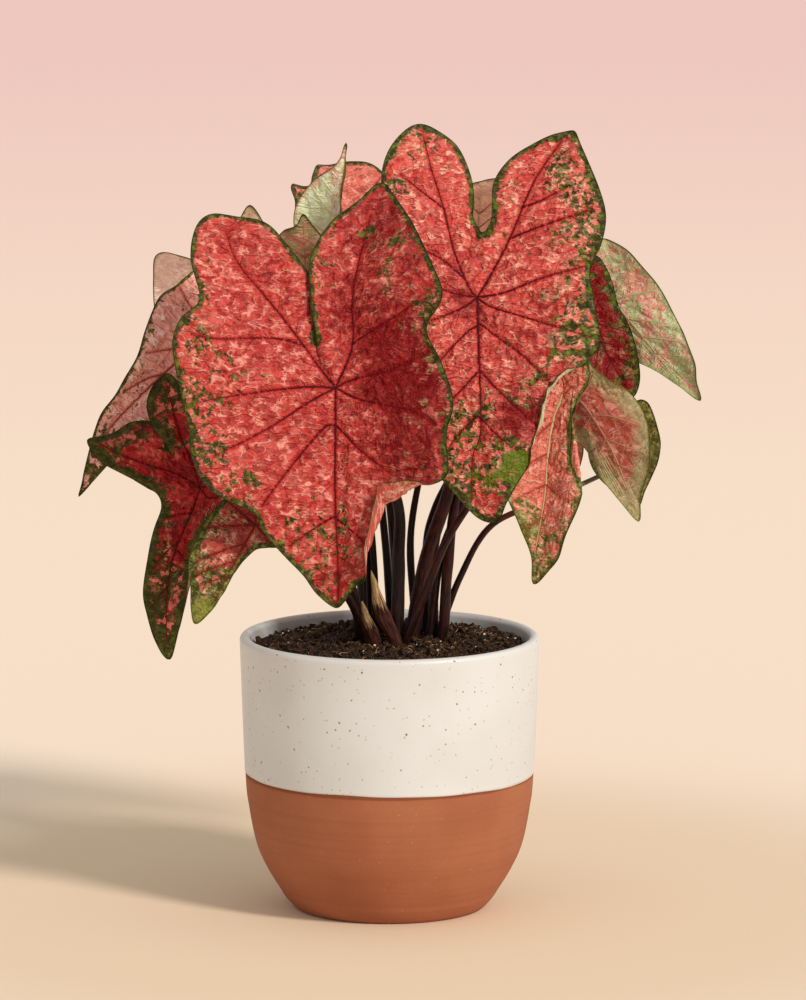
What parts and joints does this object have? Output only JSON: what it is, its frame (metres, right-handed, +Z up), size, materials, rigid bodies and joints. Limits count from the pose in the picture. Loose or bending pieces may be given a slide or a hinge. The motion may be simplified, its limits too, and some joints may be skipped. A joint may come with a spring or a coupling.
{
  "type": "potted caladium plant",
  "caption": "Pot-grown caladium: waved heart-shaped red and green leaves on slim dark stalks, rising from soil in a round-bottomed clay pot with a pale glazed upper half.",
  "frame": {"origin": "centre of the pot's flat foot, on the surface that the pot stands on", "axes": "+Z up, -Y towards the plant's front, +X to the right of a viewer who faces it"},
  "size_m": [0.3436, 0.2586, 0.4347],
  "materials": {
    "terracotta": "bare fired clay, matt",
    "glaze": "satin speckled cream glaze",
    "soil": "rough crumbs with white perlite",
    "stalk": "smooth, dark",
    "leaf_red": "satin leaf, red with green margin",
    "leaf_rose": "satin leaf, rose with green specks",
    "leaf_pale": "satin pale leaf underside, green and pink"
  },
  "bodies": {
    "root": {"pot": "terracotta", "pot_glaze": "glaze", "soil": "soil", "stalks": "stalk", "leaf_front_left": "leaf_red", "leaf_front_right": "leaf_red", "leaf_left": "leaf_rose", "leaf_low_left": "leaf_red", "leaf_low_front": "leaf_rose", "leaf_low_right": "leaf_rose", "leaf_right": "leaf_pale", "leaf_top_right": "leaf_pale", "leaf_behind_right": "leaf_red", "leaf_small_right": "leaf_red", "leaf_top_left": "leaf_pale", "leaf_back_top": "leaf_red", "leaf_inner_left": "leaf_rose", "leaf_upper_left": "leaf_rose", "leaf_inner_right": "leaf_rose", "leaf_back_left": "leaf_rose", "leaf_back": "leaf_red", "leaf_back_right": "leaf_red"}
  },
  "joints": []
}
